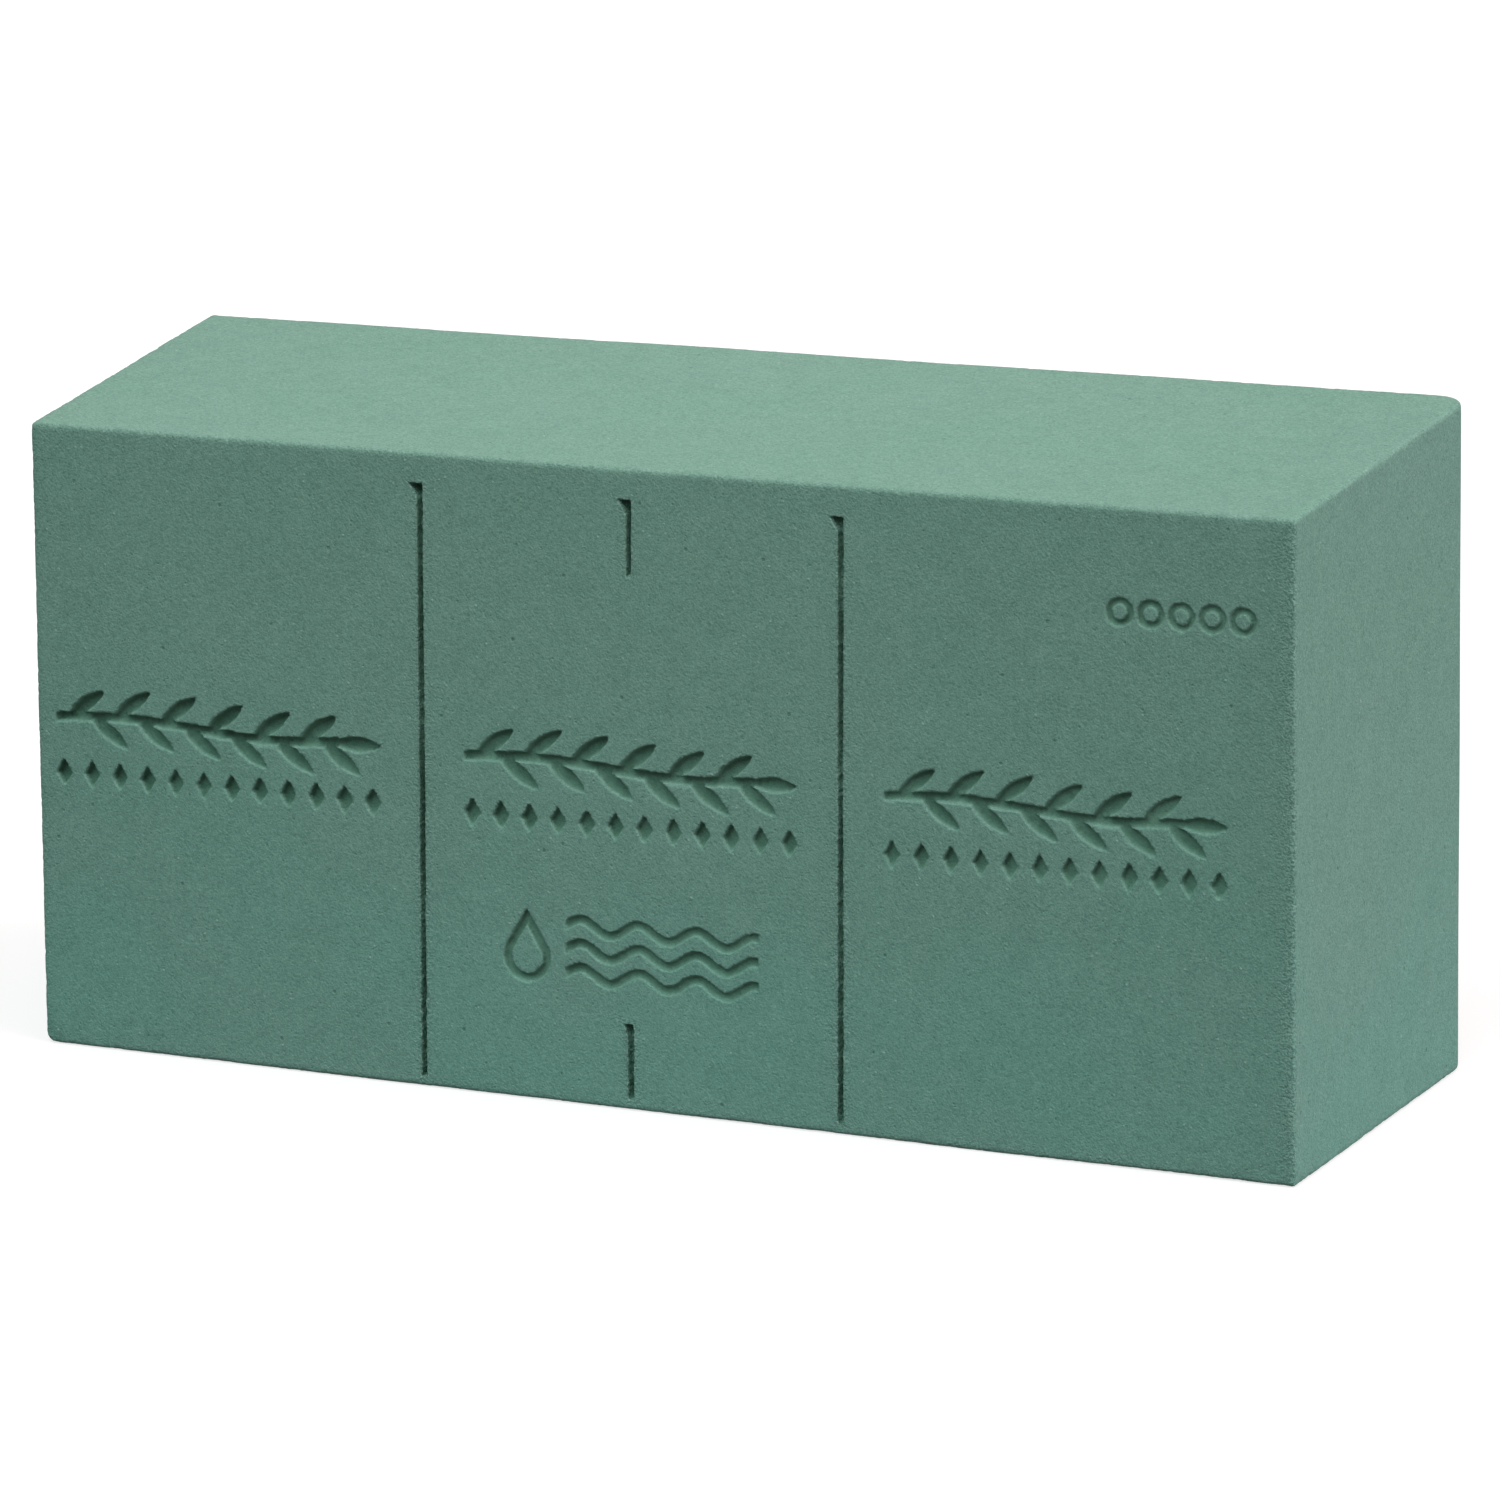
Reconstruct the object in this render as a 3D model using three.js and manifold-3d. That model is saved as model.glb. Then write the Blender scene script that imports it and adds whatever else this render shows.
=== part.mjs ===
// A brick of floral foam: one block sawn from a larger slab of foam. Its front face carries
// score lines, which show where to cut the brick, and plain ornaments pressed in with a die.
// Millimetres, +Z up. The origin is the middle of the face that the brick stands on, X runs
// along its length, and the marked front face looks along -Y.

import * as THREE from 'three';
import { mergeVertices } from 'three/addons/utils/BufferGeometryUtils.js';
import Module from 'manifold-3d';

// The block, with a radius for the two edges that handling has worn round.
const brickLength = 229;
const brickDepth = 79;
const brickHeight = 111;
const sawnEdgeRadius = 0.6;
const wornUprightEdgeRadius = 6;
const wornBottomEdgeRadius = 2;

// The score lines: one between each panel and the next, and a pair of ticks at the middle.
// The die that presses all the marks sits a little to the left of the brick's middle.
const panelCount = 3;
const dieOffset = -4.2;
const scoreWidth = 0.8;
const scoreDepth = 3;
const scoreBelowTop = 5.6;
const scoreAboveBase = 1.9;
const headWidth = 2.2;
const lowTickHeadWidth = 1.3;
const headHeight = 2.4;
const tickLength = 13;

// The ornament of each panel: a sprig, with a row of lozenges under it.
const pressDepth = 1.8;
const ornamentSideGap = 7.8;
const sprigAboveMiddle = 3.5;
const stemWidth = 1.4;
const stemSway = 0.7;
const leafCount = 12;
const leafLength = 8.6;
const leafWidth = 2.3;
const leafTilt = THREE.MathUtils.degToRad(36);
const lozengeCount = 12;
const lozengeWidth = 2.8;
const lozengeHeight = 4.6;
const lozengeBelowSprig = 9.8;

// The soaking mark, low in the middle panel: a drop beside three waves. The die's small marks,
// this one and the rings, go in less deep.
const lightPressDepth = 1.1;
const soakAboveBase = 27;
const soakStroke = 1.3;
const dropRadius = 4.2;
const dropHeight = 12.6;
const dropToWaves = 3;
const waveCount = 3;
const waveSpacing = 4.2;
const waveLength = 10.6;
const wavesAcross = 3.3;
const waveRise = 1.2;

// The grade rings, high in the right-hand panel.
const ringCount = 5;
const ringRadius = 2.3;
const ringStroke = 0.9;
const ringSpacing = 5.4;
const ringsBelowTop = 17.6;
const ringsFromEnd = 20.4;

// Each side of a leaf takes this many steps, an arc twice as many, and a waving line this many
// per wave. A cutter runs this far out of the face that it cuts, and a prism this far past the
// block.
const curveSteps = 6;
const waveSteps = 8;
const overrun = 5;

const wasm = await Module();
wasm.setup();

// A three.js geometry as a manifold solid, with its shared vertices merged.
function toSolid(geometry) {
  geometry.deleteAttribute('normal');
  geometry.deleteAttribute('uv');
  const merged = mergeVertices(geometry);
  const vertProperties = Float32Array.from(merged.attributes.position.array);
  const triVerts = Uint32Array.from(merged.index.array);
  return new wasm.Manifold(new wasm.Mesh({ numProp: 3, vertProperties, triVerts }));
}

function toGeometry(solid) {
  const mesh = solid.getMesh();
  const geometry = new THREE.BufferGeometry();
  geometry.setAttribute('position', new THREE.BufferAttribute(mesh.vertProperties, 3));
  geometry.setIndex(new THREE.BufferAttribute(mesh.triVerts, 1));
  geometry.computeVertexNormals();
  return geometry;
}

function extrude(shape, depth) {
  return new THREE.ExtrudeGeometry(shape, { depth, bevelEnabled: false, curveSegments: curveSteps });
}

// A rectangle that starts at (left, bottom), with a radius for each corner in turn:
// lower left, lower right, upper right, upper left.
function roundedRectangle(left, bottom, width, height, radii) {
  const [lowerLeft, lowerRight, upperRight, upperLeft] = radii;
  const right = left + width;
  const top = bottom + height;
  const quarter = Math.PI / 2;
  const shape = new THREE.Shape();
  shape.absarc(left + lowerLeft, bottom + lowerLeft, lowerLeft, 2 * quarter, 3 * quarter);
  shape.absarc(right - lowerRight, bottom + lowerRight, lowerRight, 3 * quarter, 4 * quarter);
  shape.absarc(right - upperRight, top - upperRight, upperRight, 0, quarter);
  shape.absarc(left + upperLeft, top - upperLeft, upperLeft, quarter, 2 * quarter);
  return shape;
}

// The block is what three prisms have in common. The plan outline rounds the upright edges,
// the front outline those that run from front to back, and the side outline the long ones.
function foamBlock() {
  const sawn = sawnEdgeRadius;
  const left = -brickLength / 2;
  const front = -brickDepth / 2;
  const plan = roundedRectangle(left, front, brickLength, brickDepth,
    [sawn, sawn, wornUprightEdgeRadius, sawn]);
  const face = roundedRectangle(left, 0, brickLength, brickHeight,
    [wornBottomEdgeRadius, sawn, sawn, sawn]);
  const side = roundedRectangle(front, 0, brickDepth, brickHeight, [sawn, sawn, sawn, sawn]);

  const upright = extrude(plan, brickHeight + 2 * overrun).translate(0, 0, -overrun);
  const frontToBack = extrude(face, brickDepth + 2 * overrun)
    .rotateX(Math.PI / 2)
    .translate(0, brickDepth / 2 + overrun, 0);
  const endToEnd = extrude(side, brickLength + 2 * overrun)
    .rotateX(Math.PI / 2)
    .rotateZ(Math.PI / 2)
    .translate(left - overrun, 0, 0);
  return toSolid(upright).intersect(toSolid(frontToBack)).intersect(toSolid(endToEnd));
}

// A cutter that sinks an outline, drawn in X and Z, into the front face.
function frontCutter(shape, depth) {
  const cutter = extrude(shape, depth + overrun)
    .rotateX(Math.PI / 2)
    .translate(0, depth - brickDepth / 2, 0);
  return toSolid(cutter);
}

// A knife line from bottom to top, whose upper end opens to the left where the blade went in.
function scoreCutter(x, bottom, top, topWidth = headWidth) {
  const half = scoreWidth / 2;
  const shape = new THREE.Shape();
  shape.moveTo(x - half, bottom);
  shape.lineTo(x + half, bottom);
  shape.lineTo(x + half, top);
  shape.lineTo(x + half - topWidth, top);
  shape.lineTo(x - half, top - headHeight);
  return frontCutter(shape, scoreDepth);
}

function scoreCutters() {
  const top = brickHeight - scoreBelowTop;
  const cutters = [
    scoreCutter(dieOffset, top - tickLength, top),
    scoreCutter(dieOffset, scoreAboveBase, scoreAboveBase + tickLength, lowTickHeadWidth),
  ];
  for (let line = 1; line < panelCount; line += 1) {
    const x = dieOffset + (line / panelCount - 0.5) * brickLength;
    cutters.push(scoreCutter(x, scoreAboveBase, top));
  }
  return cutters;
}

// A leaf that grows from a root point at an angle to the X axis.
function leafCutter(rootX, rootZ, angle) {
  const root = new THREE.Vector2(rootX, rootZ);
  const place = (along, across) =>
    new THREE.Vector2(along, across).rotateAround(new THREE.Vector2(), angle).add(root);
  const tip = place(leafLength, 0);
  const upper = place(leafLength / 2, leafWidth);
  const lower = place(leafLength / 2, -leafWidth);
  const shape = new THREE.Shape();
  shape.moveTo(root.x, root.y);
  shape.quadraticCurveTo(lower.x, lower.y, tip.x, tip.y);
  shape.quadraticCurveTo(upper.x, upper.y, root.x, root.y);
  return frontCutter(shape, pressDepth);
}

// A band of even width that follows height(x) from left to right.
function ribbonCutter(left, right, steps, width, height, depth) {
  const upper = [];
  const lower = [];
  for (let step = 0; step <= steps; step += 1) {
    const x = left + (step / steps) * (right - left);
    upper.push(new THREE.Vector2(x, height(x) + width / 2));
    lower.unshift(new THREE.Vector2(x, height(x) - width / 2));
  }
  return frontCutter(new THREE.Shape([...upper, ...lower]), depth);
}

// A swaying stem with leaves to each side in turn and one at its tip. Each leaf's root lies
// inside the stem, the last one half a stem's width short of its end.
function sprigCutters(left, right, middle) {
  const lastRoot = right - leafLength;
  const phase = (x) => (2 * Math.PI * (x - left)) / (lastRoot - left);
  const height = (x) => middle + stemSway * Math.sin(phase(x));
  const cutters = [
    ribbonCutter(left, lastRoot + stemWidth / 2, 2 * waveSteps, stemWidth, height, pressDepth),
    leafCutter(lastRoot, height(lastRoot), 0),
  ];
  for (let leaf = 0; leaf < leafCount; leaf += 1) {
    const rootX = left + ((leaf + 0.5) / leafCount) * (lastRoot - left);
    const angle = leaf % 2 === 0 ? leafTilt : -leafTilt;
    cutters.push(leafCutter(rootX, height(rootX), angle));
  }
  return cutters;
}

function lozengeCutters(left, right, middle) {
  const cutters = [];
  const pitch = (right - left - lozengeWidth) / (lozengeCount - 1);
  for (let place = 0; place < lozengeCount; place += 1) {
    const x = left + lozengeWidth / 2 + place * pitch;
    const shape = new THREE.Shape();
    shape.moveTo(x, middle - lozengeHeight / 2);
    shape.lineTo(x + lozengeWidth / 2, middle);
    shape.lineTo(x, middle + lozengeHeight / 2);
    shape.lineTo(x - lozengeWidth / 2, middle);
    cutters.push(frontCutter(shape, pressDepth));
  }
  return cutters;
}

// A drop: a circle with two tangents that meet at a point above it.
function dropOutline(path, x, z, radius, pointAbove) {
  const spread = Math.acos(radius / pointAbove);
  const upright = Math.PI / 2;
  const leftTouch = upright + spread;
  path.moveTo(x, z + pointAbove);
  path.lineTo(x + radius * Math.cos(leftTouch), z + radius * Math.sin(leftTouch));
  path.absarc(x, z, radius, leftTouch, upright - spread + 2 * Math.PI);
  return path;
}

function soakCutters(middleX) {
  const wavesWidth = waveLength * wavesAcross;
  const left = middleX - (2 * dropRadius + dropToWaves + wavesWidth) / 2;
  const dropX = left + dropRadius;
  const dropZ = soakAboveBase - dropHeight / 2 + dropRadius;
  const pointAbove = dropHeight - dropRadius;
  const innerShare = (dropRadius - soakStroke) / dropRadius;
  const drop = dropOutline(new THREE.Shape(), dropX, dropZ, dropRadius, pointAbove);
  const hole = dropOutline(new THREE.Path(), dropX, dropZ, dropRadius * innerShare,
    pointAbove * innerShare);
  drop.holes.push(hole);
  const cutters = [frontCutter(drop, lightPressDepth)];

  const wavesLeft = dropX + dropRadius + dropToWaves;
  const steps = Math.round(waveSteps * wavesAcross);
  for (let wave = 0; wave < waveCount; wave += 1) {
    const middleZ = soakAboveBase + (wave - (waveCount - 1) / 2) * waveSpacing;
    const phase = (x) => (2 * Math.PI * (x - wavesLeft)) / waveLength;
    const height = (x) => middleZ + waveRise * Math.sin(phase(x));
    cutters.push(ribbonCutter(wavesLeft, wavesLeft + wavesWidth, steps, soakStroke, height,
      lightPressDepth));
  }
  return cutters;
}

function ringCutters() {
  const cutters = [];
  const middleX = brickLength / 2 - ringsFromEnd;
  const z = brickHeight - ringsBelowTop;
  for (let ring = 0; ring < ringCount; ring += 1) {
    const x = middleX + (ring - (ringCount - 1) / 2) * ringSpacing;
    const shape = new THREE.Shape();
    shape.absarc(x, z, ringRadius, 0, 2 * Math.PI);
    const hole = new THREE.Path();
    hole.absarc(x, z, ringRadius - ringStroke, 0, 2 * Math.PI);
    shape.holes.push(hole);
    cutters.push(frontCutter(shape, lightPressDepth));
  }
  return cutters;
}

function ornamentCutters() {
  const cutters = [...soakCutters(dieOffset), ...ringCutters()];
  const panelLength = brickLength / panelCount;
  const sprigMiddle = brickHeight / 2 + sprigAboveMiddle;
  for (let panel = 0; panel < panelCount; panel += 1) {
    const panelMiddle = dieOffset + (panel - (panelCount - 1) / 2) * panelLength;
    const left = panelMiddle - panelLength / 2 + ornamentSideGap;
    const right = panelMiddle + panelLength / 2 - ornamentSideGap;
    cutters.push(...sprigCutters(left, right, sprigMiddle));
    cutters.push(...lozengeCutters(left, right, sprigMiddle - lozengeBelowSprig));
  }
  return cutters;
}

function foamBrick() {
  let solid = foamBlock();
  for (const cutter of [...scoreCutters(), ...ornamentCutters()]) {
    solid = solid.subtract(cutter);
  }
  return toGeometry(solid);
}

const foamMaterial = new THREE.MeshStandardMaterial({
  color: 0x5f9079,
  roughness: 0.95,
  metalness: 0,
});

const brick = new THREE.Mesh(foamBrick(), foamMaterial);
brick.name = 'foam_brick';

const group = new THREE.Group();
group.add(brick);

export default group;
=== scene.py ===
import math

import bmesh
import bpy
import numpy as np
from mathutils import Matrix, Vector, noise


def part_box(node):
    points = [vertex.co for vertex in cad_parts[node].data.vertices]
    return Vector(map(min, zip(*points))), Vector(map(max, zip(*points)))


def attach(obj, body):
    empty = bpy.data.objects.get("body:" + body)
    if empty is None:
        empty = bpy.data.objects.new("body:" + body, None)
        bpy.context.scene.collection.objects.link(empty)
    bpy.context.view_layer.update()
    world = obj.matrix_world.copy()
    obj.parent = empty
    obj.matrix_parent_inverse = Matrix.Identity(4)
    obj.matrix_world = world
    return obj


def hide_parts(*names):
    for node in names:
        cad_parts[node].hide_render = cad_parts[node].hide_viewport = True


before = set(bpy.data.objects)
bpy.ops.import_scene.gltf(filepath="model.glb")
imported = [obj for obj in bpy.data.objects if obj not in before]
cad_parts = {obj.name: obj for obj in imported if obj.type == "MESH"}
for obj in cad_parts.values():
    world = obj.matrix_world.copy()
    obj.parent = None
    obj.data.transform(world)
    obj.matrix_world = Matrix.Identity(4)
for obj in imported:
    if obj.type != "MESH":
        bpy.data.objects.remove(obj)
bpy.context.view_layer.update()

# ---------------------------------------------------------------------------------------
# The block. One piece of rigid phenolic foam, sawn from a larger slab, so its faces are
# flat and its edges sharp apart from crumbs lost in handling. Two edges are worn round:
# an upright one at the back right, and the lower left one.

MM = 0.001
SAWN_EDGE = 0.8 * MM
WORN_UPRIGHT_EDGE = 6 * MM
WORN_LOWER_EDGE = 2 * MM
COARSE_CELL = 4.8 * MM
SHARP_ANGLE = math.radians(60)
# A point this near to a plane lies on it.
ON_PLANE = 0.01 * MM

low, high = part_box("foam_brick")
middle = (low + high) / 2

block = bmesh.new()
bmesh.ops.create_cube(block, size=1.0)
bmesh.ops.scale(block, vec=high - low, verts=block.verts)
bmesh.ops.translate(block, vec=middle, verts=block.verts)


def edges_on(mesh, **sides):
    """The edges that lie wholly on the given sides of the box, such as x=high.x."""
    found = []
    for edge in mesh.edges:
        ends = [vert.co for vert in edge.verts]
        if all(abs(getattr(end, axis) - at) < ON_PLANE
               for end in ends for axis, at in sides.items()):
            found.append(edge)
    return found


def round_over(mesh, edges, radius, segments):
    bmesh.ops.bevel(mesh, geom=edges, offset=radius, offset_type="OFFSET", affect="EDGES",
                    segments=segments, profile=0.5, material=-1)


round_over(block, edges_on(block, x=high.x, y=high.y), WORN_UPRIGHT_EDGE, segments=8)
round_over(block, edges_on(block, x=low.x, z=low.z), WORN_LOWER_EDGE, segments=4)
sharp = [edge for edge in block.edges if edge.calc_face_angle() > SHARP_ANGLE]
round_over(block, sharp, SAWN_EDGE, segments=3)

# The faces are cut into cells of one size, clear of the rounded edges.
for axis, far_margin in enumerate((WORN_UPRIGHT_EDGE, WORN_UPRIGHT_EDGE, 0)):
    first = low[axis] + COARSE_CELL
    last = high[axis] - max(COARSE_CELL, far_margin + MM)
    cells = round((last - first) / COARSE_CELL)
    normal = Vector([float(axis == other) for other in range(3)])
    for cut in range(cells + 1):
        everything = block.verts[:] + block.edges[:] + block.faces[:]
        place = normal * (first + (last - first) * cut / cells)
        bmesh.ops.bisect_plane(block, geom=everything, plane_co=place, plane_no=normal)

# ---------------------------------------------------------------------------------------
# The marks. One die presses them all into the front face: knife lines at the thirds, a tick at
# the middle above and below, a sprig over a row of lozenges in each third, a soaking mark and
# a row of rings. Each is a distance in the plane of the face, below zero inside its outline.

PANELS = 3
DIE_OFFSET = -4.2 * MM
DIE_LEAN = 1.0 * MM
PANEL_LENGTH = (high.x - low.x) / PANELS
DIE_MIDDLE = middle.x + DIE_OFFSET

SCORE_WIDTH = 0.8 * MM
SCORE_DEPTH = 3.0 * MM
SCORE_TOP = high.z - 5.6 * MM
SCORE_BOTTOM = low.z + 1.9 * MM
HEAD_WIDTH = 2.2 * MM
LOW_TICK_HEAD_WIDTH = 1.3 * MM
HEAD_HEIGHT = 2.4 * MM
TICK_LENGTH = 13 * MM

PRESS_DEPTH = 1.8 * MM
LIGHT_PRESS_DEPTH = 1.1 * MM
ORNAMENT_SIDE_GAP = 7.8 * MM
SPRIG_HEIGHT = middle.z + 3.5 * MM
STEM_WIDTH = 1.4 * MM
STEM_SWAY = 0.7 * MM
LEAVES = 12
LEAF_LENGTH = 8.6 * MM
LEAF_WIDTH = 2.3 * MM
LEAF_TILT = math.radians(36)
LOZENGES = 12
LOZENGE_WIDTH = 2.8 * MM
LOZENGE_HEIGHT = 4.6 * MM
LOZENGE_DROP = 9.8 * MM

SOAK_HEIGHT = low.z + 27 * MM
SOAK_STROKE = 1.3 * MM
DROP_RADIUS = 4.2 * MM
DROP_HEIGHT = 12.6 * MM
DROP_TO_WAVES = 3 * MM
WAVES = 3
WAVE_SPACING = 4.2 * MM
WAVE_LENGTH = 10.6 * MM
WAVES_ACROSS = 3.3
WAVE_RISE = 1.2 * MM

RINGS = 5
RING_RADIUS = 2.3 * MM
RING_STROKE = 0.9 * MM
RING_SPACING = 5.4 * MM
RINGS_HEIGHT = high.z - 17.6 * MM
RINGS_MIDDLE = high.x - 20.4 * MM


def score_line(x, bottom, top, head_width=HEAD_WIDTH):
    """A knife line, whose upper end opens to the left where the blade went in."""
    right = x + SCORE_WIDTH / 2
    head_left = right - head_width
    slant = Vector((head_width - SCORE_WIDTH, -HEAD_HEIGHT)).normalized()

    def distance(px, pz):
        beside = np.abs(px - x) - SCORE_WIDTH / 2
        beyond = np.abs(pz - (bottom + top) / 2) - (top - bottom) / 2
        line = np.maximum(beside, beyond)
        outside_slant = (px - head_left) * slant.y - (pz - top) * slant.x
        head = np.maximum.reduce([px - right, pz - top, outside_slant])
        return np.minimum(line, head)

    return distance


def leaf(root_x, root_z, angle):
    """A pointed leaf: what two discs have in common."""
    radius = (LEAF_LENGTH ** 2 + LEAF_WIDTH ** 2) / (4 * LEAF_WIDTH)

    def distance(px, pz):
        along = (px - root_x) * math.cos(angle) + (pz - root_z) * math.sin(angle)
        across = (pz - root_z) * math.cos(angle) - (px - root_x) * math.sin(angle)
        return np.hypot(along - LEAF_LENGTH / 2, np.abs(across) + radius - LEAF_WIDTH / 2) - radius

    return distance


def ribbon(left, right, width, height, slope):
    """A band of even width that follows height(x) from left to right."""

    def distance(px, pz):
        beside = np.abs(pz - height(px)) / np.hypot(1, slope(px)) - width / 2
        return np.maximum(beside, np.abs(px - (left + right) / 2) - (right - left) / 2)

    return distance


def wave_ribbon(left, right, width, level, rise, length):
    turn = 2 * math.pi / length
    return ribbon(
        left, right, width,
        lambda px: level + rise * np.sin((px - left) * turn),
        lambda px: rise * turn * np.cos((px - left) * turn),
    )


def lozenge(x, z):
    half_width = LOZENGE_WIDTH / 2
    half_height = LOZENGE_HEIGHT / 2

    def distance(px, pz):
        reach = np.abs(px - x) * half_height + np.abs(pz - z) * half_width
        return (reach - half_width * half_height) / math.hypot(half_width, half_height)

    return distance


def drop(x, z):
    """The stroke round a drop: a circle with two tangents that meet above it."""
    point_above = DROP_HEIGHT - DROP_RADIUS
    spread = math.acos(DROP_RADIUS / point_above)

    def distance(px, pz):
        side = np.abs(px - x)
        rise = pz - z
        tangent = side * math.sin(spread) + rise * math.cos(spread)
        along = rise * math.sin(spread) - side * math.cos(spread)
        outline = np.where(along > 0, tangent, np.hypot(side, rise)) - DROP_RADIUS
        return np.maximum(outline, -(outline + SOAK_STROKE))

    return distance


def ring(x, z):
    middle_radius = RING_RADIUS - RING_STROKE / 2
    return lambda px, pz: np.abs(np.hypot(px - x, pz - z) - middle_radius) - RING_STROKE / 2


scores = [
    score_line(DIE_MIDDLE, SCORE_TOP - TICK_LENGTH, SCORE_TOP),
    score_line(DIE_MIDDLE, SCORE_BOTTOM, SCORE_BOTTOM + TICK_LENGTH, LOW_TICK_HEAD_WIDTH),
]
for line in range(1, PANELS):
    line_x = DIE_MIDDLE + (line - PANELS / 2) * PANEL_LENGTH
    scores.append(score_line(line_x, SCORE_BOTTOM, SCORE_TOP))

# The small marks, which are the soaking mark and the rings, go in less deep than the ornaments.
ornaments = []
small_marks = []
for panel in range(PANELS):
    panel_middle = DIE_MIDDLE + (panel - (PANELS - 1) / 2) * PANEL_LENGTH
    left = panel_middle - PANEL_LENGTH / 2 + ORNAMENT_SIDE_GAP
    right = panel_middle + PANEL_LENGTH / 2 - ORNAMENT_SIDE_GAP
    last_root = right - LEAF_LENGTH
    stem_length = last_root - left
    ornaments.append(wave_ribbon(left, last_root + STEM_WIDTH / 2, STEM_WIDTH, SPRIG_HEIGHT,
                                 STEM_SWAY, stem_length))
    ornaments.append(leaf(last_root, SPRIG_HEIGHT, 0))
    for number in range(LEAVES):
        share = (number + 0.5) / LEAVES
        root_z = SPRIG_HEIGHT + STEM_SWAY * math.sin(2 * math.pi * share)
        tilt = LEAF_TILT if number % 2 == 0 else -LEAF_TILT
        ornaments.append(leaf(left + share * stem_length, root_z, tilt))
    for number in range(LOZENGES):
        first = left + LOZENGE_WIDTH / 2
        pitch = (right - left - LOZENGE_WIDTH) / (LOZENGES - 1)
        ornaments.append(lozenge(first + number * pitch, SPRIG_HEIGHT - LOZENGE_DROP))

waves_width = WAVE_LENGTH * WAVES_ACROSS
soak_left = DIE_MIDDLE - (2 * DROP_RADIUS + DROP_TO_WAVES + waves_width) / 2
small_marks.append(drop(soak_left + DROP_RADIUS, SOAK_HEIGHT - DROP_HEIGHT / 2 + DROP_RADIUS))
for number in range(WAVES):
    waves_left = soak_left + 2 * DROP_RADIUS + DROP_TO_WAVES
    level = SOAK_HEIGHT + (number - (WAVES - 1) / 2) * WAVE_SPACING
    small_marks.append(wave_ribbon(waves_left, waves_left + waves_width, SOAK_STROKE, level,
                                   WAVE_RISE, WAVE_LENGTH))
for number in range(RINGS):
    ring_x = RINGS_MIDDLE + (number - (RINGS - 1) / 2) * RING_SPACING
    small_marks.append(ring(ring_x, RINGS_HEIGHT))


def nearest(marks, px, pz):
    """The distance to the nearest of the marks, which lean a little as the die was set."""
    leaning = px - DIE_LEAN * (pz - middle.z) / (high.z - low.z)
    return np.minimum.reduce([distance(leaning, pz) for distance in marks])


# The mesh is made finer, by halves, near the outlines of the marks and near the edges of the
# brick: the size of a cell, then how far that reaches from the outline of an ornament, from
# that of a score line and from an edge, all in mm.
FINER_CELLS = [
    (2.4, 6.5, 6.5, 5.0),
    (1.2, 3.6, 3.6, 2.8),
    (0.6, 1.7, 1.7, 1.3),
    (0.3, 0.55, 0.7, 0.42),
    (0.15, 0.0, 0.32, 0.0),
]
# An edge is split when it is longer than this many cells.
SPLIT_ABOVE = 1.5


def edge_distance(points):
    """How far each point on the brick's surface lies from its nearest edge."""
    gaps = np.minimum(points - np.array(low), np.array(high) - points)
    return np.sort(gaps, axis=1)[:, 1]


def outline_distance(marks, points):
    """How far each point lies from the nearest outline of a mark on the front face."""
    on_front = points[:, 1] < low.y + ON_PLANE
    away = np.abs(nearest(marks, points[:, 0], points[:, 2]))
    return np.where(on_front, away, math.inf)


for cell, ornament_reach, score_reach, edge_reach in FINER_CELLS:
    centres = np.array([face.calc_center_median() for face in block.faces])
    chosen = outline_distance(ornaments + small_marks, centres) < ornament_reach * MM
    chosen |= outline_distance(scores, centres) < score_reach * MM
    chosen |= edge_distance(centres) < edge_reach * MM
    block.faces.ensure_lookup_table()
    block.edges.index_update()
    edges = set()
    for index in np.nonzero(chosen)[0]:
        for edge in block.faces[index].edges:
            if edge.calc_length() > SPLIT_ABOVE * cell * MM:
                edges.add(edge)
    ordered = sorted(edges, key=lambda edge: edge.index)
    bmesh.ops.subdivide_edges(block, edges=ordered, cuts=1, use_grid_fill=True)

# Foam breaks in crumbs, so the lips of each mark and the edges of the brick are ragged. The die
# pulled the foam round each ornament in a little, and pressed less deep towards the right. The
# knife lines narrow as they go in, and they tore a little more towards their lower ends.
SCORE_LIP_WIDTH = 0.50 * MM
SCORE_OPENING = 0.22
SCORE_RAGGEDNESS = 0.07 * MM
# The knife lines' floors take this share of the darker green: crushed foam and painted shade.
SCORE_CRUSH_AND_SHADE = 0.5
LOW_END_TEARING = 0.8
ORNAMENT_LIP_WIDTH = 0.36 * MM
ORNAMENT_OPENING = 0.3
ORNAMENT_RAGGEDNESS = 0.12 * MM
COARSE_RAG = 1.3 * MM
FINE_RAG = 0.55 * MM
FINE_RAG_SHARE = 0.8
RIGHT_HAND_SHALLOWNESS = 0.4
PRESS_UNEVENNESS = 0.35
PRESS_PATCH = 9 * MM
FLOOR_UNEVENNESS = 0.12
PULL_DEPTH = 0.04 * MM
PULL_REACH = 0.9 * MM
TORN_REACH = 0.7 * MM
EDGE_CRUMBLE = 0.15 * MM
EDGE_REACH = 0.8 * MM
FRAYED_REACH = 1.0 * MM
FRAYED_SHARE = 0.4
WORST_EDGE_REACH = 1.8 * MM
# On the end, the worst edge's fraying reaches this many times less far than on the front.
WORST_EDGE_NARROWING = 4
CHIP = 3.1 * MM
CHIP_SHARE = 1.2
CRUMB = 0.8 * MM
CRUMB_LOSS = 0.2
FACE_WAVER = 0.12 * MM
WAVER_LENGTH = 38 * MM


def ragged(point, grain, seed=0.0):
    """Noise about zero, in lumps of the size of the grain. Each seed has its own pattern."""
    return noise.noise(Vector(point) / grain + Vector((seed, seed, seed)))


def smooth_step(share):
    share = np.clip(share, 0, 1)
    return share * share * (3 - 2 * share)


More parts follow.
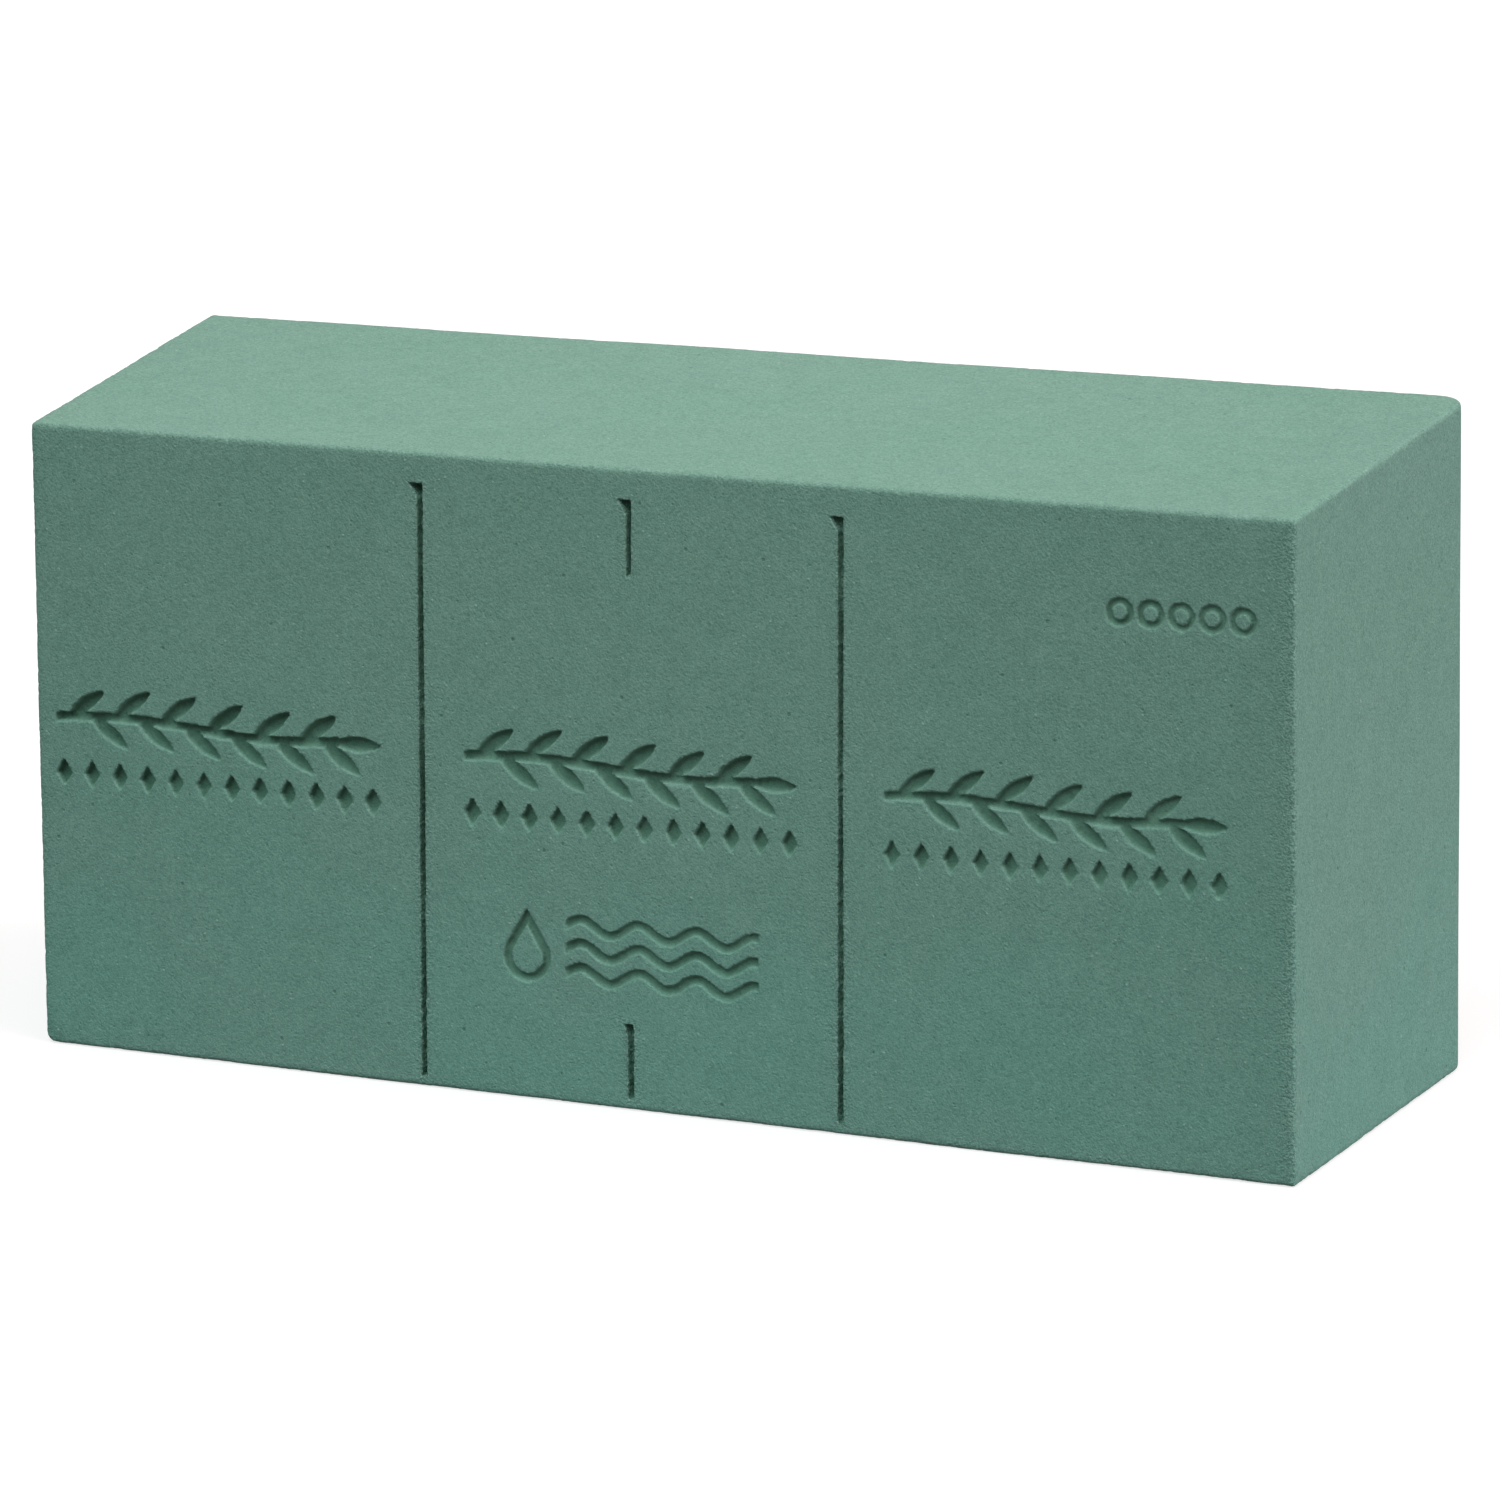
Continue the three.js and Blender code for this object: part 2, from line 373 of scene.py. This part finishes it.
def carve(mesh):
    pressed_and_shaded = mesh.verts.layers.float.new("pressed_and_shaded")
    torn = mesh.verts.layers.float.new("torn")
    verts = [vert for vert in mesh.verts if vert.co.y < low.y + ON_PLANE]
    px = np.array([vert.co.x for vert in verts])
    pz = np.array([vert.co.z for vert in verts])
    rag = np.array([
        ragged(vert.co, COARSE_RAG) + FINE_RAG_SHARE * ragged(vert.co, FINE_RAG, 7.0)
        for vert in verts
    ])
    floor = np.array([1 + FLOOR_UNEVENNESS * ragged(vert.co, COARSE_RAG, 3.0) for vert in verts])
    floor += PRESS_UNEVENNESS * np.array([ragged(vert.co, PRESS_PATCH, 4.0) for vert in verts])
    pressure = 1 - RIGHT_HAND_SHALLOWNESS * (px - low.x) / (high.x - low.x)
    floor *= pressure
    tearing = 1 + LOW_END_TEARING * (high.z - pz) / (high.z - low.z)

    to_score = nearest(scores, px, pz)
    to_small_mark = nearest(small_marks, px, pz)
    to_ornament = np.minimum(nearest(ornaments, px, pz), to_small_mark)
    press = np.where(to_small_mark <= to_ornament, LIGHT_PRESS_DEPTH, PRESS_DEPTH)
    scored = smooth_step(
        (rag * tearing * SCORE_RAGGEDNESS - to_score) / SCORE_LIP_WIDTH + SCORE_OPENING)
    stamped = smooth_step(
        (rag * ORNAMENT_RAGGEDNESS - to_ornament) / ORNAMENT_LIP_WIDTH + ORNAMENT_OPENING)
    pulled = np.exp(-np.maximum(to_ornament, 0) / PULL_REACH)
    depth = np.maximum(scored * SCORE_DEPTH * floor, stamped * press * floor)
    depth = np.maximum(depth, pulled * PULL_DEPTH)
    # The darker green on the marks' floors is partly crushed foam and partly painted shade in the
    # grooves.
    share = np.maximum(scored * SCORE_CRUSH_AND_SHADE, stamped) * pressure
    ripped = np.exp(-np.maximum(to_score, 0) / TORN_REACH) * tearing / (1 + LOW_END_TEARING)
    for vert, sink, pressed_and_shaded_share, torn_share in zip(verts, depth, share, ripped):
        vert.co.y += sink
        vert[pressed_and_shaded] = pressed_and_shaded_share
        vert[torn] = torn_share


def crumble(mesh):
    """The edges lose crumbs, most of all the front face's right-hand edge."""
    torn = mesh.verts.layers.float["torn"]
    mesh.normal_update()
    points = np.array([vert.co for vert in mesh.verts])
    from_edge = edge_distance(points)
    closeness = np.exp(-from_edge / EDGE_REACH)
    from_worst_edge = np.hypot(high.x - points[:, 0],
                               WORST_EDGE_NARROWING * (points[:, 1] - low.y))
    frayed = np.maximum(FRAYED_SHARE * np.exp(-from_edge / FRAYED_REACH),
                        np.exp(-from_worst_edge / WORST_EDGE_REACH))
    moves = []
    for vert, close, fray in zip(mesh.verts, closeness, frayed):
        crumbs = CHIP_SHARE * ragged(vert.co, CHIP, 11.0) + ragged(vert.co, CRUMB, 5.0) + CRUMB_LOSS
        waver = ragged(vert.co, WAVER_LENGTH, 2.0) * FACE_WAVER
        inward = max(0.0, crumbs) * close * EDGE_CRUMBLE + waver + FACE_WAVER
        moves.append(vert.normal * -inward)
        vert[torn] = max(vert[torn], fray)
    for vert, move in zip(mesh.verts, moves):
        vert.co += move


carve(block)
crumble(block)

# The saw left the block out of square. The top's corners stand this far above their true
# height, and the left end's upright edges this far along from their true place.
TOP_FRONT_LEFT = -3.1 * MM
TOP_FRONT_RIGHT = 0.4 * MM
TOP_BACK_LEFT = -1.4 * MM
TOP_BACK_RIGHT = 3.8 * MM
LEFT_FRONT = 1.5 * MM
LEFT_BACK = -4.0 * MM

for vert in block.verts:
    along, back, up = [(vert.co[axis] - low[axis]) / (high[axis] - low[axis]) for axis in range(3)]
    front_rise = TOP_FRONT_LEFT + (TOP_FRONT_RIGHT - TOP_FRONT_LEFT) * along
    back_rise = TOP_BACK_LEFT + (TOP_BACK_RIGHT - TOP_BACK_LEFT) * along
    vert.co.z += up * (front_rise + (back_rise - front_rise) * back)
    vert.co.x += (1 - along) * (LEFT_FRONT + (LEFT_BACK - LEFT_FRONT) * back)

bmesh.ops.triangulate(block, faces=block.faces[:])
bmesh.ops.recalc_face_normals(block, faces=block.faces)
for face in block.faces:
    face.smooth = True
mesh = bpy.data.meshes.new("foam_block")
block.to_mesh(mesh)
block.free()

brick = bpy.data.objects.new("foam_block", mesh)
bpy.context.scene.collection.objects.link(brick)
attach(brick, "root")
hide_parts("foam_brick")

# ---------------------------------------------------------------------------------------
# The foam itself. Green phenolic resin, blown into open cells about half a millimetre
# across, dry and dull. The saw opens the cells, so every face is a fine sandy grain with a
# few larger bubbles and pale flecks of loose dust.


class Socket:
    """A shader socket that Python's arithmetic adds Math nodes to."""

    def __init__(self, tree, link):
        self.tree = tree
        self.link = link

    def _math(self, operation, *values):
        return self.tree.node("ShaderNodeMath", {"operation": operation}, dict(enumerate(values)))

    def __add__(self, other):
        return self._math("ADD", self, other)

    def __sub__(self, other):
        return self._math("SUBTRACT", self, other)

    def __rsub__(self, other):
        return self._math("SUBTRACT", other, self)

    def __mul__(self, other):
        return self._math("MULTIPLY", self, other)

    __radd__ = __add__
    __rmul__ = __mul__

    def ramp(self, low_end, high_end):
        """0 at low_end and 1 at high_end, smooth between them."""
        settings = {"interpolation_type": "SMOOTHSTEP"}
        return self.tree.node("ShaderNodeMapRange", settings,
                              {"Value": self, "From Min": low_end, "From Max": high_end})


class Material:
    def __init__(self, name):
        self.material = bpy.data.materials.new(name)
        self.material.use_nodes = True
        self.nodes = self.material.node_tree.nodes
        self.links = self.material.node_tree.links
        self.shader = self.nodes["Principled BSDF"]

    def connect(self, target, value):
        if isinstance(value, Socket):
            self.links.new(value.link, target)
        else:
            target.default_value = value

    def node(self, kind, settings=None, values=None, output=0):
        made = self.nodes.new(kind)
        for name, value in (settings or {}).items():
            setattr(made, name, value)
        for name, value in (values or {}).items():
            self.connect(made.inputs[name], value)
        return Socket(self, made.outputs[output])


FOAM_GREEN = (0.200, 0.366, 0.290, 1)
# A lighter, bluer green for the lower part of the brick: painted bounce light from below.
FOAM_GREEN_PAINTED_BOUNCE = (0.188, 0.386, 0.312, 1)
FOAM_GREY_GREEN = (0.212, 0.368, 0.300, 1)
# A dark green for bubbles, pinholes and gaps left by lost crumbs: painted shade in these hollows.
HOLLOW_SHADE_GREEN = (0.07, 0.15, 0.115, 1)
DUST_GREEN = (0.38, 0.56, 0.48, 1)
# The floors of the marks: crushed foam, and painted shade in the grooves.
PRESSED_AND_SHADED_GREEN = (0.108, 0.230, 0.154, 1)
GRAIN_TINT = (1.3, 1.0, 1.03)

# How strongly each size of grain shows as tone, from a centre that is a little lighter: painted
# light falloff, darker towards the ends.
SAND_TONE, GRANULE_TONE, GRIT_TONE, LUMP_TONE, PATCH_TONE = 0.60, 0.34, 0.28, 0.16, 0.12
PAINTED_MIDDLE_LIGHT = 0.015
PAINTED_END_SHADE = 0.05

# How much of the foam's own colour each kind of mark covers.
DRIFT_COVER = 0.5
DUST_COVER, LOOSE_CRUMB_COVER = 0.6, 0.55
# Bubbles, pinholes and lost crumbs darken the colour as painted shade in their hollows.
PIT_SHADE_COVER, PINHOLE_SHADE_COVER, LOST_CRUMB_SHADE_COVER = 0.4, 0.16, 0.6
PRESSED_AND_SHADED_COVER, PRESSED_AND_SHADED_SAND_COVER = 0.35, 0.5

# How far each stands out of the face or goes into it, as shares of the relief's depth.
CELL_RELIEF, GRANULE_RELIEF, GRIT_RELIEF, DUST_RELIEF = 0.4, 0.4, 0.55, 0.7
PIT_RELIEF, PINHOLE_RELIEF, CRUMB_RELIEF = 1.2, 0.8, 1.6
RELIEF_DEPTH = 0.22 * MM
RELIEF_STRENGTH = 0.5
FOAM_ROUGHNESS = 0.95
FOAM_SHINE = 0.15

foam = Material("dry_floral_foam")
place = foam.node("ShaderNodeTexCoord", output="Object")
# The grain is turned, so that its own axes don't run along the brick's.
GRAIN_TURN = (0.5, 0.8, 0.35)
grain_place = foam.node("ShaderNodeMapping", None, {"Vector": place, "Rotation": GRAIN_TURN})


def noise_field(size, detail=2.0):
    values = {"Vector": grain_place, "Scale": 1 / size, "Detail": detail}
    return foam.node("ShaderNodeTexNoise", None, values)


def specks(spacing, radius, rarity):
    """1 in small round specks: one to a cell of this spacing, in the cells above a rarity."""
    values = {"Vector": grain_place, "Scale": 1 / spacing}
    away = foam.node("ShaderNodeTexVoronoi", None, values, "Distance")
    lot = foam.node("ShaderNodeTexVoronoi", None, values, "Color")
    round_speck = 1 - away.ramp(0.5 * radius / spacing, radius / spacing)
    return round_speck * lot.ramp(rarity, rarity + 0.02)


def mix(share, first, second):
    return foam.node("ShaderNodeMix", {"data_type": "RGBA"}, {0: share, 6: first, 7: second}, 2)


sand = noise_field(0.30 * MM)
granules = noise_field(0.55 * MM, 1.0)
grit = noise_field(0.9 * MM)
lumps = noise_field(2.4 * MM)
patches = noise_field(7 * MM)
drift = noise_field(30 * MM)
cells = foam.node("ShaderNodeTexVoronoi", None, {"Vector": grain_place, "Scale": 1 / (0.5 * MM)},
                  "Distance")
pit_hollows_and_shade = specks(spacing=3.4 * MM, radius=0.42 * MM, rarity=0.74)
pinhole_hollows_and_shade = specks(spacing=1.5 * MM, radius=0.26 * MM, rarity=0.45)
dust = specks(spacing=2.0 * MM, radius=0.28 * MM, rarity=0.66)

pressed_and_shaded = foam.node("ShaderNodeAttribute", {"attribute_name": "pressed_and_shaded"}, output="Fac")
torn = foam.node("ShaderNodeAttribute", {"attribute_name": "torn"}, output="Fac")
crumbs = noise_field(0.42 * MM, 1.0)
loose_crumbs = torn * crumbs.ramp(0.54, 0.62)
lost_crumb_hollows_and_shade = torn * (1 - crumbs.ramp(0.38, 0.46))

height = foam.node("ShaderNodeSeparateXYZ", None, {"Vector": place}, "Z")
along = foam.node("ShaderNodeSeparateXYZ", None, {"Vector": place}, "X")
from_middle = (along - middle.x) * (2 / (high.x - low.x))
# Lower down, the green turns lighter and bluer: painted bounce light from below.
colour = mix(height.ramp(low.z, high.z * 0.7), FOAM_GREEN_PAINTED_BOUNCE, FOAM_GREEN)
colour = mix(drift.ramp(0.35, 0.65) * DRIFT_COVER, colour, FOAM_GREY_GREEN)
grain = SAND_TONE * (sand - 0.5) + GRANULE_TONE * (granules - 0.5) + GRIT_TONE * (grit - 0.5)
grain = grain + LUMP_TONE * (lumps - 0.5) + PATCH_TONE * (patches - 0.5)
# Painted light falloff: a little lighter in the middle of the brick and darker towards its ends.
grain = grain + PAINTED_MIDDLE_LIGHT - PAINTED_END_SHADE * (from_middle * from_middle)
tinted = foam.node("ShaderNodeVectorMath", {"operation": "SCALE"},
                   {0: GRAIN_TINT, "Scale": grain})
colour = foam.node("ShaderNodeVectorMath", {"operation": "MULTIPLY_ADD"},
                   {0: colour, 1: tinted, 2: colour})
colour = mix(dust * DUST_COVER, colour, DUST_GREEN)
# Open bubbles and pinholes are painted darker: painted shade in the hollows.
colour = mix(pit_hollows_and_shade * PIT_SHADE_COVER + pinhole_hollows_and_shade * PINHOLE_SHADE_COVER, colour, HOLLOW_SHADE_GREEN)
colour = mix(loose_crumbs * LOOSE_CRUMB_COVER, colour, DUST_GREEN)
# Where crumbs broke out along torn edges, the gaps are painted darker: painted shade in the
# hollows.
colour = mix(lost_crumb_hollows_and_shade * LOST_CRUMB_SHADE_COVER, colour, HOLLOW_SHADE_GREEN)
# The marks' floors turn darker: crushed foam, and painted shade in the grooves.
colour = mix(pressed_and_shaded.ramp(0.0, 0.6) * (PRESSED_AND_SHADED_COVER + PRESSED_AND_SHADED_SAND_COVER * sand),
             colour, PRESSED_AND_SHADED_GREEN)
foam.connect(foam.shader.inputs["Base Color"], colour)

relief = sand + CELL_RELIEF * cells + GRANULE_RELIEF * granules + GRIT_RELIEF * grit
relief = relief + DUST_RELIEF * dust - PIT_RELIEF * pit_hollows_and_shade - PINHOLE_RELIEF * pinhole_hollows_and_shade
relief = relief + CRUMB_RELIEF * (loose_crumbs - lost_crumb_hollows_and_shade)
bump = foam.node("ShaderNodeBump", None,
                 {"Strength": RELIEF_STRENGTH, "Distance": RELIEF_DEPTH, "Height": relief})
foam.connect(foam.shader.inputs["Normal"], bump)
foam.shader.inputs["Roughness"].default_value = FOAM_ROUGHNESS
foam.shader.inputs["Specular IOR Level"].default_value = FOAM_SHINE
mesh.materials.append(foam.material)

# ---------------------------------------------------------------------------------------
# The floor: a plain white sheet that the brick stands on.

FLOOR_HALF = 6.0
PAPER_GREY = (0.4, 0.4, 0.4, 1)
PAPER_GLOW = 0.68

sheet = bmesh.new()
bmesh.ops.create_grid(sheet, x_segments=1, y_segments=1, size=FLOOR_HALF)
floor_mesh = bpy.data.meshes.new("floor")
sheet.to_mesh(floor_mesh)
sheet.free()
floor = bpy.data.objects.new("floor", floor_mesh)
bpy.context.scene.collection.objects.link(floor)

paper = Material("white_paper")
paper.shader.inputs["Base Color"].default_value = PAPER_GREY
paper.shader.inputs["Roughness"].default_value = 1.0
paper.shader.inputs["Specular IOR Level"].default_value = 0.0
paper.shader.inputs["Emission Color"].default_value = (1, 1, 1, 1)
paper.shader.inputs["Emission Strength"].default_value = PAPER_GLOW
floor_mesh.materials.append(paper.material)
floor.visible_diffuse = False

# ---------------------------------------------------------------------------------------
# The light: broad soft lights from overhead, from the right, from the front and above, and from
# behind on the left, with a little light from all round.


def soft_light(name, azimuth, elevation, spread, strength, tint):
    """A distant light that comes from the azimuth, 0 in front and 90 at the right."""
    data = bpy.data.lights.new(name, "SUN")
    data.energy = strength
    data.angle = math.radians(spread)
    data.color = tint
    light = bpy.data.objects.new(name, data)
    bpy.context.scene.collection.objects.link(light)
    turn = Matrix.Rotation(math.radians(azimuth), 4, "Z")
    tip = Matrix.Rotation(math.radians(90 - elevation), 4, "X")
    light.matrix_world = turn @ tip


soft_light("overhead", azimuth=60, elevation=80, spread=70, strength=0.83, tint=(1.40, 1, 0.88))
soft_light("from_right", azimuth=92, elevation=30, spread=60, strength=2.01, tint=(1.01, 1, 1.07))
soft_light("from_front", azimuth=-10, elevation=50, spread=50, strength=1.54, tint=(0.80, 1, 1.03))
soft_light("from_behind", azimuth=215, elevation=6, spread=50, strength=0.95, tint=(1, 1, 1))

# The room is white to look at, but it lights the brick only weakly.
ROOM_LIGHT = 0.1

world = bpy.data.worlds.new("studio")
world.use_nodes = True
background = world.node_tree.nodes["Background"]
background.inputs["Color"].default_value = (1, 1, 1, 1)
seen = world.node_tree.nodes.new("ShaderNodeLightPath")
brightness = world.node_tree.nodes.new("ShaderNodeMapRange")
brightness.inputs["To Min"].default_value = ROOM_LIGHT
brightness.inputs["To Max"].default_value = 1.0
world.node_tree.links.new(seen.outputs["Is Camera Ray"], brightness.inputs["Value"])
world.node_tree.links.new(brightness.outputs["Result"], background.inputs["Strength"])
bpy.context.scene.world = world
bpy.context.scene.view_settings.view_transform = "Standard"

# ---------------------------------------------------------------------------------------
# The camera: far off with a long lens, turned to the right and a little above the brick.

CAMERA_AZIMUTH = math.radians(24.29)
CAMERA_ELEVATION = math.radians(14.69)
CAMERA_ROLL = math.radians(-0.60)
CAMERA_DISTANCE = 2.0266
CAMERA_LENS = 290.6
AIM_OFFSET = Vector((0.8, -0.3, -2.7)) * MM

data = bpy.data.cameras.new("camera")
data.sensor_width = 36
data.lens = CAMERA_LENS
data.clip_end = 50
camera = bpy.data.objects.new("camera", data)
bpy.context.scene.collection.objects.link(camera)
turned = (Matrix.Rotation(CAMERA_AZIMUTH, 4, "Z")
          @ Matrix.Rotation(math.pi / 2 - CAMERA_ELEVATION, 4, "X")
          @ Matrix.Rotation(CAMERA_ROLL, 4, "Z"))
camera.matrix_world = (Matrix.Translation(middle + AIM_OFFSET) @ turned
                       @ Matrix.Translation((0, 0, CAMERA_DISTANCE)))
bpy.context.scene.camera = camera
